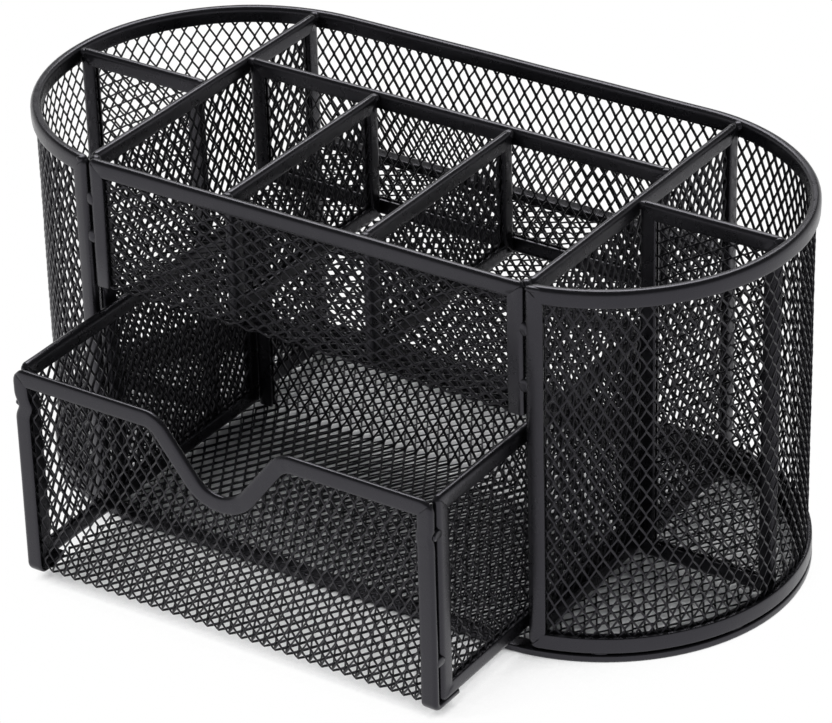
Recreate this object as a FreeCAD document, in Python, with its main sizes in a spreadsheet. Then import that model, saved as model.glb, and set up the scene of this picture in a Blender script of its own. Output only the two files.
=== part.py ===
import FreeCAD, Part
import math
import os

# Desk pen stand of expanded metal mesh with a sliding drawer.
# Millimetres, +Z up, drawer front towards -Y. The origin lies on the table
# under the middle of the whole piece, with the drawer open as at rest.

doc = FreeCAD.newDocument("pen_stand")
sheet = doc.addObject("Spreadsheet::Sheet", "sizes")

# Driving dimensions: alias, value
DRIVING = [
    # overall outline, a straight back and front between two round ends
    ("stand_length", 220.0),
    ("stand_depth", 108.0),
    ("stand_height", 105.0),
    # folded steel edge strips
    ("strip_width", 4.5),
    ("strip_thickness", 2.6),
    ("rim_thickness", 3.0),
    ("fold_web", 0.7),
    ("fold_radius", 1.1),
    # expanded mesh held in the strips
    ("mesh_thickness", 0.8),
    ("mesh_clearance", 0.05),
    ("diamond_width", 3.5),
    ("diamond_length", 6.0),
    ("strand_width", 0.8),
    ("gap_limit", 180.0),
    # base tray and the shell above it
    ("base_rim_height", 2.0),
    ("base_gap", 0.4),
    # places of the dividers
    ("divider_x", 65.5),
    ("end_divider_y", 0.0),
    ("long_divider_y", 18.0),
    ("cross_left_x", -23.5),
    ("cross_right_x", 18.0),
    ("joint_gap", 0.2),
    # front panel and shelf over the drawer
    ("panel_recess", 1.2),
    ("panel_side_gap", 0.8),
    ("shelf_height", 67.6),
    # drawer
    ("drawer_width", 126.5),
    ("drawer_length", 102.0),
    ("drawer_top", 63.0),
    ("drawer_lift", 0.9),
    ("drawer_opening", 38.0),
    # finger notch in the drawer front
    ("notch_width", 45.0),
    ("notch_depth", 18.0),
    ("notch_shoulder_radius", 9.0),
    ("notch_floor_radius", 8.5),
    # spot welds
    ("weld_length", 4.0),
    ("weld_width", 0.9),
    ("cut_margin", 1.0),
]

# Sizes worked out from the driving ones: alias, formula
DERIVED = [
    ("end_radius", "stand_depth / 2"),
    ("end_centre_x", "stand_length / 2 - end_radius"),
    ("rim_bottom", "stand_height - strip_width"),
    ("rim_inner_radius", "end_radius - rim_thickness"),
    ("mesh_outer_radius", "end_radius - rim_thickness / 2 + mesh_thickness / 2"),
    ("mesh_inner_radius", "mesh_outer_radius - mesh_thickness"),
    ("slot_outer_radius", "mesh_outer_radius + mesh_clearance"),
    ("slot_inner_radius", "mesh_inner_radius - mesh_clearance"),
    ("shell_bottom", "base_rim_height + base_gap"),
    ("wall_top", "shell_bottom + strip_width"),
    ("shell_front_x", "divider_x"),
    ("panel_front_y", "panel_recess - end_radius"),
    ("panel_back_y", "panel_front_y + strip_thickness"),
    ("panel_middle_y", "panel_front_y + strip_thickness / 2"),
    ("panel_half_width", "divider_x - panel_side_gap"),
    ("divider_inner_x", "divider_x - strip_thickness / 2"),
    ("divider_outer_x", "divider_x + strip_thickness / 2"),
    ("slot_thickness", "mesh_thickness + 2 * mesh_clearance"),
    ("net_inset", "fold_web + mesh_clearance"),
    ("shelf_top", "shelf_height + strip_thickness / 2"),
    ("drawer_bottom", "base_rim_height + drawer_lift"),
    ("drawer_half_width", "drawer_width / 2"),
    ("drawer_front_y", "panel_front_y"),
    ("drawer_back_y", "drawer_front_y + drawer_length"),
    ("drawer_side_front_y", "drawer_front_y + strip_thickness + joint_gap"),
    ("panel_bottom", "shelf_height + mesh_thickness / 2 + mesh_clearance"),
    ("divider_past_x", "divider_outer_x - end_centre_x"),
    ("divider_reach_y", "sqrt(rim_inner_radius ^ 2 - divider_past_x ^ 2) - joint_gap"),
    ("centre_shift_y", "(drawer_opening - panel_recess) / 2"),
]


def fill_sheet():
    """Write every size into the sheet, one row each, with its alias."""
    row = 1
    for alias, value in DRIVING:
        sheet.set("A%d" % row, alias)
        sheet.set("B%d" % row, repr(value))
        sheet.setAlias("B%d" % row, alias)
        row += 1
    for alias, formula in DERIVED:
        sheet.set("A%d" % row, alias)
        sheet.set("B%d" % row, "=" + formula)
        sheet.setAlias("B%d" % row, alias)
        row += 1
    doc.recompute()


def size(alias):
    """The value of one size, in millimetres."""
    return float(sheet.get(alias))


ALIASES = sorted([name for name, _ in DRIVING + DERIVED], key=len, reverse=True)


def bound(formula):
    """Point every alias in a formula at the sheet."""
    words = []
    word = ""
    for letter in formula + " ":
        if letter.isalnum() or letter == "_":
            word += letter
            continue
        words.append("sizes." + word if word in ALIASES else word)
        words.append(letter)
        word = ""
    return "".join(words).strip()


def bind(thing, prop, formula):
    """Bind one property of an object to a formula of the sheet's aliases."""
    thing.setExpression(prop, bound(formula))


def place(thing, x_formula, y_formula, z_formula):
    bind(thing, "Placement.Base.x", x_formula)
    bind(thing, "Placement.Base.y", y_formula)
    bind(thing, "Placement.Base.z", z_formula)


def box(name, corner, lengths):
    """A box from its low corner and its three lengths, all formulas."""
    thing = doc.addObject("Part::Box", name)
    bind(thing, "Length", lengths[0])
    bind(thing, "Width", lengths[1])
    bind(thing, "Height", lengths[2])
    place(thing, *corner)
    return thing


def cut(name, base, tool):
    thing = doc.addObject("Part::Cut", name)
    thing.Base = base
    thing.Tool = tool
    return thing


def stadium(name, radius, bottom, height):
    """An upright block with a straight front and back and two round ends."""
    ends = []
    for side, sign in (("left", "-"), ("right", "")):
        end = doc.addObject("Part::Cylinder", "%s_%s_end" % (name, side))
        bind(end, "Radius", radius)
        bind(end, "Height", height)
        place(end, sign + "end_centre_x", "0", bottom)
        ends.append(end)
    corner = ("-end_centre_x", "-(%s)" % radius, bottom)
    middle = box(name + "_middle", corner, ("2 * end_centre_x", "2 * (%s)" % radius, height))
    whole = doc.addObject("Part::MultiFuse", name)
    whole.Shapes = [ends[0], middle, ends[1]]
    whole.Refine = True
    return whole


def stadium_ring(name, outer, inner, bottom, height):
    """The wall between two stadium outlines."""
    solid = stadium(name + "_outer", outer, bottom, height)
    margin = "(%s) - cut_margin" % bottom
    hollow = stadium(name + "_inner", inner, margin, "(%s) + 2 * cut_margin" % height)
    return cut(name, solid, hollow)


def open_front(name, ring, bottom, height):
    """Cut the straight front out of a ring, between the front corners."""
    corner = ("-shell_front_x", "-end_radius - cut_margin", "(%s) - cut_margin" % bottom)
    lengths = ("2 * shell_front_x", "end_radius + cut_margin", "(%s) + 2 * cut_margin" % height)
    return cut(name, ring, box(name + "_gap", corner, lengths))


def rounded(name, base, radius, wanted):
    """Round the edges of a base that a test picks, as a folded strip is."""
    doc.recompute()
    thing = doc.addObject("Part::Fillet", name)
    thing.Base = base
    edges = []
    for number, edge in enumerate(base.Shape.Edges, 1):
        if wanted(edge):
            edges.append((number, radius, radius))
    thing.Edges = edges
    return thing


def fold(thickness):
    """The radius of a fold, which its strip's thickness limits."""
    return min(size("fold_radius"), thickness * FOLD_SHARE)


FOLD_SHARE = 0.45
NEAR = 1e-4
NODES = []


def finish(thing, node, moving=False, base=("0", "0", "0")):
    """Name a finished sub-part after its node and put it where it rests."""
    thing.Label = node
    shift = "centre_shift_y - drawer_opening" if moving else "centre_shift_y"
    place(thing, base[0], "%s + (%s)" % (shift, base[1]), base[2])
    NODES.append((node, thing))


def vector(x, y, z=0.0):
    return FreeCAD.Vector(x, y, z)


# Flat expanded mesh

def clip(points, axis, limit, keep_below):
    """Clip a convex outline by one upright or level line."""
    result = []
    count = len(points)
    for number in range(count):
        here = points[number]
        after = points[(number + 1) % count]
        here_in = (here[axis] <= limit) == keep_below
        after_in = (after[axis] <= limit) == keep_below
        if here_in:
            result.append(here)
        if here_in != after_in:
            part = (limit - here[axis]) / (after[axis] - here[axis])
            mixed = [here[0] + part * (after[0] - here[0]), here[1] + part * (after[1] - here[1])]
            mixed[axis] = limit
            result.append(tuple(mixed))
    return result


def outline_area(points):
    total = 0.0
    for number in range(len(points)):
        here = points[number]
        after = points[(number + 1) % len(points)]
        total += here[0] * after[1] - after[0] * here[1]
    return abs(total) / 2


SMALLEST_GAP_SHARE = 0.3


def diamonds(low, high, long_axis, keeps):
    """Outlines of the gaps of a mesh in a rectangle, at most gap_limit of them.

    The gaps are as wide as the real ones, or wider where there would be too many.
    """
    width = high[0] - low[0]
    height = high[1] - low[1]
    pitch = [size("diamond_width"), size("diamond_width")]
    pitch[long_axis] = size("diamond_length")
    real_count = 2 * (width / pitch[0]) * (height / pitch[1])
    coarse = max(1.0, math.sqrt(real_count / size("gap_limit")))
    columns = max(1, int(width / (pitch[0] * coarse)))
    rows = max(1, int(height / (pitch[1] * coarse)))
    step_x = width / columns
    step_y = height / rows
    slant = math.hypot(step_x, step_y)
    strand = size("strand_width") * coarse
    half_x = step_x / 2 - strand * slant / (2 * step_y)
    half_y = step_y / 2 - strand * slant / (2 * step_x)
    whole = 2 * half_x * half_y
    edge = strand / 2
    found = []
    for row in range(2 * rows + 1):
        for column in range(2 * columns + 1):
            if (row + column) % 2:
                continue
            x = low[0] + column * step_x / 2
            y = low[1] + row * step_y / 2
            points = [(x - half_x, y), (x, y - half_y), (x + half_x, y), (x, y + half_y)]
            points = clip(points, 0, low[0] + edge, False)
            points = clip(points, 0, high[0] - edge, True)
            points = clip(points, 1, low[1] + edge, False)
            points = clip(points, 1, high[1] - edge, True)
            if len(points) < 3 or outline_area(points) < whole * SMALLEST_GAP_SHARE:
                continue
            if all(keeps(*point) for point in points):
                found.append(points)
    return found


def everywhere(x, y):
    return True


def net(outline, gaps):
    """A flat mesh in the XY plane: one face with holes, thickened evenly."""
    wires = [outline]
    for points in gaps:
        corners = [vector(*point) for point in points]
        wires.append(Part.makePolygon(corners + [corners[0]]))
    face = Part.makeFace(wires, "Part::FaceMakerBullseye")
    thickness = size("mesh_thickness")
    face.translate(vector(0, 0, -thickness / 2))
    return face.extrude(vector(0, 0, thickness))


def rectangle(low, high):
    corners = [vector(*low), vector(high[0], low[1]), vector(*high), vector(low[0], high[1])]
    return Part.makePolygon(corners + [corners[0]])


# Turns the flat XY drawing of a net into the plane where it stands
TURNS = {
    "front": FreeCAD.Rotation(vector(1, 0, 0), 90),
    "side": FreeCAD.Rotation(vector(0, 0, 1), 90) * FreeCAD.Rotation(vector(1, 0, 0), 90),
    "flat": FreeCAD.Rotation(),
}


def add_flat(node, shape, turn, base, moving=False):
    """A shape drawn in the XY plane as a sub-part: turned, then moved to a base."""
    thing = doc.addObject("Part::Feature", node)
    thing.Shape = shape
    thing.Placement = FreeCAD.Placement(vector(0, 0), TURNS[turn])
    finish(thing, node, moving, base)


def framed_net(node, direction, limits, middle, moving=False):
    """The mesh of an upright panel whose strip frame fills the given limits."""
    if direction == "X":
        low = (limits.XMin, limits.ZMin)
        high = (limits.XMax, limits.ZMax)
        turn = "front"
        base = ("0", middle, "0")
    else:
        low = (limits.YMin, limits.ZMin)
        high = (limits.YMax, limits.ZMax)
        turn = "side"
        base = (middle, "0", "0")
    inset = size("net_inset")
    strip = size("strip_width")
    outer = rectangle((low[0] + inset, low[1] + inset), (high[0] - inset, high[1] - inset))
    inner_low = (low[0] + strip, low[1] + strip)
    inner_high = (high[0] - strip, high[1] - strip)
    shape = net(outer, diamonds(inner_low, inner_high, 1, everywhere))
    add_flat(node, shape, turn, base, moving)


# Straight strip frames round a flat panel

def frame(node, direction, start, end, bottom, top, middle, moving=False):
    """A folded strip round all four edges of an upright panel.

    direction is X or Y, the way the panel runs. middle is the place of its mesh.
    """
    def sides(low, high, thickness):
        run = "(%s) - (%s)" % (high, low)
        offset = "(%s) - (%s) / 2" % (middle, thickness)
        if direction == "X":
            return (low, offset), (run, thickness)
        return (offset, low), (thickness, run)

    def block(name, inset, thickness):
        low = "(%s) + %s" % (start, inset)
        high = "(%s) - %s" % (end, inset)
        corner, lengths = sides(low, high, thickness)
        height = "(%s) - (%s) - 2 * %s" % (top, bottom, inset)
        return box(name, corner + ("(%s) + %s" % (bottom, inset),), lengths + (height,))

    outer = block(node + "_block", "0", "strip_thickness")
    window = block(node + "_window", "strip_width", "(strip_thickness + 2 * cut_margin)")
    slot = block(node + "_slot", "fold_web", "slot_thickness")
    ring = cut(node + "_ring", outer, window)
    channel = cut(node + "_channel", ring, slot)
    doc.recompute()
    limits = outer.Shape.BoundBox

    def outer_edge(edge):
        """Picks the long edges of the fold, round the outside of the frame."""
        place_of = edge.CenterOfMass
        along = place_of.x if direction == "X" else place_of.y
        low = limits.XMin if direction == "X" else limits.YMin
        high = limits.XMax if direction == "X" else limits.YMax
        across = place_of.y if direction == "X" else place_of.x
        near_side = limits.YMin if direction == "X" else limits.XMin
        far_side = limits.YMax if direction == "X" else limits.XMax
        on_side = min(abs(across - near_side), abs(across - far_side)) < NEAR
        on_end = min(abs(along - low), abs(along - high)) < NEAR
        on_level = min(abs(place_of.z - limits.ZMin), abs(place_of.z - limits.ZMax)) < NEAR
        return on_side and (on_end or on_level)

    thing = rounded(node, channel, fold(size("strip_thickness")), outer_edge)
    finish(thing, node, moving)
    return limits


def panel(name, direction, start, end, bottom, top, middle, moving=False):
    """A framed mesh panel: its strip frame and its mesh."""
    limits = frame(name + "_frame", direction, start, end, bottom, top, middle, moving)
    framed_net(name + "_mesh", direction, limits, middle, moving)


# The base tray: a rolled rim round a mesh floor

def base_tray():
    height = "base_rim_height"
    ring = stadium_ring("base_ring", "end_radius", "end_radius - strip_width", "0", height)
    slot_bottom = "base_rim_height / 2 - slot_thickness / 2"
    slot = stadium("base_slot", "end_radius - fold_web", slot_bottom, "slot_thickness")
    channel = cut("base_channel", ring, slot)
    doc.recompute()
    outer = size("end_radius")

    def outer_edge(edge):
        at_level = edge.BoundBox.ZLength < NEAR
        return at_level and is_on_outline(edge, outer) and is_at_height(edge, (0, size(height)))

    radius = fold(size(height))
    finish(rounded("base_rim", channel, radius, outer_edge), "base_rim")
    reach = size("end_radius") - size("net_inset")
    inside = size("end_radius") - size("strip_width") - size("strand_width") / 2
    centre = size("end_centre_x")
    outline = stadium_wire(centre, reach)

    def keeps(x, y):
        past = max(0.0, abs(x) - centre)
        return math.hypot(past, y) < inside

    limit_x = centre + inside
    gaps = diamonds((-limit_x, -inside), (limit_x, inside), 1, keeps)
    add_flat("base_mesh", net(outline, gaps), "flat", ("0", "0", "base_rim_height / 2"))


def stadium_wire(centre, radius):
    """A stadium outline in the XY plane, round the given end centres."""
    low_left = vector(-centre, -radius)
    low_right = vector(centre, -radius)
    high_left = vector(-centre, radius)
    high_right = vector(centre, radius)
    right = Part.Arc(low_right, vector(centre + radius, 0), high_right).toShape()
    left = Part.Arc(high_left, vector(-centre - radius, 0), low_left).toShape()
    front = Part.makeLine(low_left, low_right)
    back = Part.makeLine(high_right, high_left)
    return Part.Wire([front, right, back, left])


def is_on_outline(edge, radius):
    """True for an edge that runs along a stadium outline of this radius."""
    centre = size("end_centre_x")
    for parameter in (edge.FirstParameter, (edge.FirstParameter + edge.LastParameter) / 2):
        point = edge.valueAt(parameter)
        past = max(0.0, abs(point.x) - centre)
        if abs(math.hypot(past, point.y) - radius) > NEAR:
            return False
    return True


def is_at_height(edge, heights):
    return min(abs(edge.BoundBox.ZMin - height) for height in heights) < NEAR


# The shell: one mesh strip round the back and both ends, with an edge strip

def shell():
    rim("shell_top_rim", "rim_bottom", "strip_width", "rim_bottom - cut_margin", "stand_height")
    rim("shell_bottom_rim", "shell_bottom", "strip_width", "shell_bottom + fold_web", "shell_bottom")
    for side in ("left", "right"):
        post(side)
    bottom = "shell_bottom + net_inset"
    height = "stand_height - shell_bottom - 2 * net_inset"
    ring = stadium_ring("shell_sheet", "mesh_outer_radius", "mesh_inner_radius", bottom, height)
    corner = ("-shell_front_x - net_inset", "-end_radius - cut_margin", "0")
    lengths = ("2 * shell_front_x + 2 * net_inset", "end_radius + cut_margin", "2 * stand_height")
    sheet_piece = cut("shell_sheet_piece", ring, box("shell_mesh_gap", corner, lengths))
    gaps = doc.addObject("Part::Feature", "shell_mesh_gaps")
    gaps.Shape = Part.makeCompound(wall_gaps())
    finish(cut("shell_mesh", sheet_piece, gaps), "shell_mesh")


# Each round end and the back has this many gaps side by side
WALL_COLUMNS = 4
WALL_ROWS = 5
WALL_GAP_SHARE = 0.78


def wall_gaps():
    """Blocks that cut a plain grid in the wall, with far wider gaps than the real mesh."""
    reach = size("end_radius") + size("cut_margin")
    centre = size("end_centre_x")
    low = size("wall_top")
    rise = (size("rim_bottom") - low) / WALL_ROWS
    tall = rise * WALL_GAP_SHARE
    run = 2 * centre / WALL_COLUMNS
    wide = run * WALL_GAP_SHARE
    post_end = size("shell_front_x") + size("strip_width") - centre
    start = math.degrees(math.asin(post_end / size("mesh_outer_radius")))
    turn = (180 - start) / WALL_COLUMNS
    open_turn = turn * WALL_GAP_SHARE
    blocks = []
    for row in range(WALL_ROWS):
        bottom = low + row * rise + (rise - tall) / 2
        for column in range(WALL_COLUMNS):
            x = -centre + column * run + (run - wide) / 2
            blocks.append(Part.makeBox(wide, reach, tall, vector(x, 0, bottom)))
            first = start + column * turn + (turn - open_turn) / 2
            for sign, angle in ((1, first - 90), (-1, -90 - first - open_turn)):
                axis = vector(sign * centre, 0, bottom)
                wedge = Part.makeCylinder(reach, tall, axis, vector(0, 0, 1), open_turn)
                wedge.rotate(axis, vector(0, 0, 1), angle)
                blocks.append(wedge)
    return blocks


def rim(node, bottom, height, slot_bottom, folded_at):
    """A level edge strip of the shell, with the slot that holds its mesh."""
    ring = stadium_ring(node + "_ring", "end_radius", "rim_inner_radius", bottom, height)
    band = open_front(node + "_band", ring, bottom, height)
    slot = stadium_ring(
        node + "_slot",
        "slot_outer_radius",
        "slot_inner_radius",
        slot_bottom,
        "strip_width - fold_web + cut_margin",
    )
    corner = ("-shell_front_x - fold_web", "-end_radius - cut_margin", "0")
    lengths = ("2 * shell_front_x + 2 * fold_web", "end_radius + cut_margin", "2 * stand_height")
    slot_band = cut(node + "_slot_band", slot, box(node + "_slot_gap", corner, lengths))
    channel = cut(node + "_channel", band, slot_band)
    level = size(folded_at)
    radii = (size("end_radius"), size("rim_inner_radius"))

    def fold_edge(edge):
        on_outline = any(is_on_outline(edge, radius) for radius in radii)
        return edge.BoundBox.ZLength < NEAR and is_at_height(edge, (level,)) and on_outline

    finish(rounded(node, channel, fold(size("rim_thickness")), fold_edge), node)


def post(side):
    """An upright edge strip of the shell at a front corner."""
    node = "shell_%s_post" % side
    bottom = "wall_top"
    height = "rim_bottom - wall_top"
    ring = stadium_ring(node + "_ring", "end_radius", "rim_inner_radius", bottom, height)
    slot = stadium_ring(node + "_slot", "slot_outer_radius", "slot_inner_radius", bottom, height)
    start = "-shell_front_x - strip_width" if side == "left" else "shell_front_x"
    slot_start = "-shell_front_x - strip_width - cut_margin"
    if side == "right":
        slot_start = "shell_front_x + fold_web"
    corner = (start, "-end_radius - cut_margin", "wall_top - cut_margin")
    tall = "rim_bottom - wall_top + 2 * cut_margin"
    piece = doc.addObject("Part::Common", node + "_strip")
    piece.Base = ring
    piece.Tool = box(node + "_reach", corner, ("strip_width", "end_radius + cut_margin", tall))
    slot_corner = (slot_start, "-end_radius - cut_margin", "wall_top - cut_margin")
    slot_lengths = ("strip_width + cut_margin - fold_web", "end_radius + cut_margin", tall)
    slot_piece = doc.addObject("Part::Common", node + "_slot_strip")
    slot_piece.Base = slot
    slot_piece.Tool = box(node + "_slot_reach", slot_corner, slot_lengths)
    channel = cut(node + "_channel", piece, slot_piece)
    free_x = size("shell_front_x")

    def fold_edge(edge):
        upright = edge.BoundBox.ZLength > size("strip_width")
        return upright and abs(abs(edge.CenterOfMass.x) - free_x) < NEAR

    finish(rounded(node, channel, fold(size("rim_thickness")), fold_edge), node)


# Dividers inside the shell

def dividers():
    low = "shell_bottom"
    top = "stand_height"
    reach = "divider_reach_y"
    panel("left_divider", "Y", "-" + reach, reach, low, top, "-divider_x")
    panel("right_divider", "Y", "-" + reach, reach, low, top, "divider_x")
    inner = "divider_outer_x + joint_gap"
    outer = "stand_length / 2 - rim_thickness - joint_gap"
    panel("left_end_divider", "X", "-(%s)" % outer, "-(%s)" % inner, low, top, "end_divider_y")
    panel("right_end_divider", "X", inner, outer, low, top, "end_divider_y")
    floor = "shelf_top + joint_gap"
    side = "divider_inner_x - joint_gap"
    panel("long_divider", "X", "-(%s)" % side, side, floor, top, "long_divider_y")
    start = "panel_back_y + joint_gap"
    end = "long_divider_y - strip_thickness / 2 - joint_gap"
    panel("cross_divider_left", "Y", start, end, floor, top, "cross_left_x")
    panel("cross_divider_right", "Y", start, end, floor, top, "cross_right_x")


# Front panel and shelf over the drawer

def front_panel():
    """The strip round the top and sides of the front panel, and its mesh."""
    low = "panel_bottom"
    outer = box(
        "panel_block",
        ("-panel_half_width", "panel_front_y", low),
        ("2 * panel_half_width", "strip_thickness", "stand_height - panel_bottom"),
    )
    window = box(
        "panel_window",
        ("-panel_half_width + strip_width", "panel_front_y - cut_margin", low + " - cut_margin"),
        (
            "2 * panel_half_width - 2 * strip_width",
            "strip_thickness + 2 * cut_margin",
            "stand_height - panel_bottom - strip_width + cut_margin",
        ),
    )
    slot = box(
        "panel_slot",
        ("-panel_half_width + fold_web", "panel_middle_y - slot_thickness / 2", low + " - cut_margin"),
        (
            "2 * panel_half_width - 2 * fold_web",
            "slot_thickness",
            "stand_height - panel_bottom - fold_web + cut_margin",
        ),
    )
    channel = cut("panel_channel", cut("panel_arch", outer, window), slot)
    half = size("panel_half_width")
    front = size("panel_front_y")
    back = size("panel_back_y")
    top = size("stand_height")

    def fold_edge(edge):
        middle = edge.CenterOfMass
        on_face = min(abs(middle.y - front), abs(middle.y - back)) < NEAR
        return on_face and (abs(abs(middle.x) - half) < NEAR or abs(middle.z - top) < NEAR)

    radius = fold(size("strip_thickness"))
    finish(rounded("front_panel_frame", channel, radius, fold_edge), "front_panel_frame")
    reach = half - size("net_inset")
    bottom = size("shelf_height") - size("mesh_thickness") / 2
    outline = rectangle((-reach, bottom), (reach, top - size("net_inset")))
    inner = half - size("strip_width")
    floor = size("shelf_height") + size("strand_width")
    gaps = diamonds((-inner, floor), (inner, top - size("strip_width")), 0, everywhere)
    add_flat("front_panel_mesh", net(outline, gaps), "front", ("0", "panel_middle_y", "0"))


def shelf():
    """The level mesh over the drawer, with a strip along its back edge."""
    bottom = "shelf_height - strip_thickness / 2"
    back = "rim_inner_radius - joint_gap"
    side = "divider_inner_x - joint_gap"
    bar = box(
        "shelf_bar",
        ("-(%s)" % side, back + " - strip_width", bottom),
        ("2 * (%s)" % side, "strip_width", "strip_thickness"),
    )
    slot = box(
        "shelf_bar_slot",
        ("-stand_length / 2", back + " - strip_width - cut_margin", "shelf_height - slot_thickness / 2"),
        ("stand_length", "strip_width - fold_web + cut_margin", "slot_thickness"),
    )
    channel = cut("shelf_bar_channel", bar, slot)
    back_y = size("rim_inner_radius") - size("joint_gap")

    def fold_edge(edge):
        along = edge.BoundBox.XLength > size("strip_width")
        return along and abs(edge.CenterOfMass.y - back_y) < NEAR

    radius = fold(size("strip_thickness"))
    finish(rounded("shelf_back_strip", channel, radius, fold_edge), "shelf_back_strip")
    half = size("divider_inner_x") - size("joint_gap")
    low = size("panel_middle_y") + size("mesh_thickness") / 2
    high = back_y - size("net_inset")
    outline = rectangle((-half, low), (half, high))
    edge = size("strand_width")
    far = back_y - size("strip_width")
    gaps = diamonds((-half + edge, low + edge), (half - edge, far), 0, everywhere)
    add_flat("shelf_mesh", net(outline, gaps), "flat", ("0", "0", "shelf_height"))


# Drawer

def drawer_side(side):
    middle = "drawer_half_width - strip_thickness / 2"
    if side == "left":
        middle = "-(%s)" % middle
    name = "drawer_%s_side" % side
    start = "drawer_side_front_y"
    end = "drawer_back_y"
    panel(name, "Y", start, end, "drawer_bottom", "drawer_top", middle, True)


def drawer_back():
    side = "drawer_half_width - strip_thickness - joint_gap"
    middle = "drawer_back_y - strip_thickness / 2"
    panel("drawer_back", "X", "-(%s)" % side, side, "drawer_bottom", "drawer_top", middle, True)


class Notch:
    """The finger notch: two shoulders and a floor joined by straight slopes."""

    def __init__(self, drop):
        """drop is how far this outline lies below the top edge of the drawer."""
        self.shoulder = size("notch_shoulder_radius") - drop
        self.floor = size("notch_floor_radius") + drop
        self.half = size("notch_width") / 2
        self.top = size("drawer_top") - drop
        depth = size("notch_depth")
        both = size("notch_shoulder_radius") + size("notch_floor_radius")
        slope = math.sqrt(self.half ** 2 + (depth - both) ** 2 - both ** 2)
        square = both ** 2 + slope ** 2
        self.sine = (both * self.half + slope * (depth - both)) / square
        self.cosine = (slope * self.half - both * (depth - both)) / square
        self.shoulder_z = self.top - self.shoulder
        self.floor_z = size("drawer_top") - depth + size("notch_floor_radius")
        self.shoulder_end = self.half - self.shoulder * self.sine
        self.floor_end = self.floor * self.sine

    def height(self, x):
        """The height of the outline at a place across the drawer."""
        x = abs(x)
        if x >= self.half:
            return self.top
        if x >= self.shoulder_end:
            return self.shoulder_z + math.sqrt(self.shoulder ** 2 - (self.half - x) ** 2)
        if x <= self.floor_end:
            return self.floor_z - math.sqrt(self.floor ** 2 - x ** 2)
        high = self.shoulder_z + self.shoulder * self.cosine
        return high - (self.shoulder_end - x) * self.sine / self.cosine

    def edges(self, half_width):
        """The outline from right to left across a drawer of this half width."""
        start = self.shoulder_z + self.shoulder * self.cosine
        low = self.floor_z - self.floor * self.cosine
        half_sine = math.sqrt((1 - self.cosine) / 2)
        half_cosine = math.sqrt((1 + self.cosine) / 2)
        bend_x = self.half - self.shoulder * half_sine
        bend_z = self.shoulder_z + self.shoulder * half_cosine
        parts = [Part.makeLine(vector(half_width, self.top), vector(self.half, self.top))]
        for sign in (1, -1):
            corner = vector(sign * self.half, self.top)
            bend = vector(sign * bend_x, bend_z)
            slope_top = vector(sign * self.shoulder_end, start)
            slope_bottom = vector(sign * self.floor_end, low)
            shoulder = Part.Arc(corner, bend, slope_top).toShape()
            slope = Part.makeLine(slope_top, slope_bottom)
            if sign == 1:
                parts += [shoulder, slope]
                bottom = vector(0, self.floor_z - self.floor)
                other = vector(-self.floor_end, low)
                parts.append(Part.Arc(slope_bottom, bottom, other).toShape())
            else:
                parts += [slope, shoulder]
        parts.append(Part.makeLine(vector(-self.half, self.top), vector(-half_width, self.top)))
        return parts


def notched_wire(drop, half_width, bottom):
    """The outline of the front from its bottom up to a wave this far below the top."""
    notch = Notch(drop)
    right = Part.makeLine(vector(half_width, bottom), vector(half_width, notch.top))
    left = Part.makeLine(vector(-half_width, notch.top), vector(-half_width, bottom))
    floor = Part.makeLine(vector(-half_width, bottom), vector(half_width, bottom))
    edges = Part.__sortEdges__([right] + notch.edges(half_width) + [left, floor])
    return Part.Wire(edges)


def slab(outline, thickness):
    """A plate of one outline, evenly thick about the XY plane."""
    face = Part.Face(outline)
    face.translate(vector(0, 0, -thickness / 2))
    return face.extrude(vector(0, 0, thickness))


def drawer_front():
    """The wavy strip over the top and down both sides, and the mesh behind it."""
    half = size("drawer_half_width")
    bottom = size("drawer_bottom")
    margin = size("cut_margin")
    strip = size("strip_width")
    thick = size("strip_thickness")
    web = size("fold_web")
    outer = slab(notched_wire(0, half, bottom), thick)
    window = slab(notched_wire(strip, half - strip, bottom - margin), thick + margin)
    slot = slab(notched_wire(web, half - web, bottom - margin), size("slot_thickness"))
    arch = outer.cut(window).cut(slot)
    folds = [edge for edge in arch.Edges if is_drawer_fold(edge, half, bottom, thick)]
    arch = arch.makeFillet(fold(thick), folds)
    base = ("0", "drawer_front_y + strip_thickness / 2", "0")
    add_flat("drawer_front_frame", arch, "front", base, True)
    inset = size("net_inset")
    floor_z = bottom + thick / 2
    outline = notched_wire(inset, half - inset, floor_z - size("mesh_thickness") / 2)
    lower_edge = Notch(strip)
    edge = size("strand_width") / 2

    def keeps(x, y):
        return y < lower_edge.height(x) - edge and y < lower_edge.height(x + edge) - edge

    inner = half - strip
    low = floor_z + size("strand_width")
    gaps = diamonds((-inner, low), (inner, size("drawer_top") - strip), 1, keeps)
    add_flat("drawer_front_mesh", net(outline, gaps), "front", base, True)


def is_drawer_fold(edge, half, bottom, thick):
    """True for the outer long edges of the drawer's front strip."""
    if edge.BoundBox.ZLength > NEAR:
        return False
    if abs(abs(edge.CenterOfMass.z) - thick / 2) > NEAR:
        return False
    outline = Notch(0)
    for parameter in (edge.FirstParameter, (edge.FirstParameter + edge.LastParameter) / 2):
        point = edge.valueAt(parameter)
        on_side = abs(abs(point.x) - half) < NEAR and point.y > bottom - NEAR
        if not on_side and abs(point.y - outline.height(point.x)) > NEAR:
            return False
    return True


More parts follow.
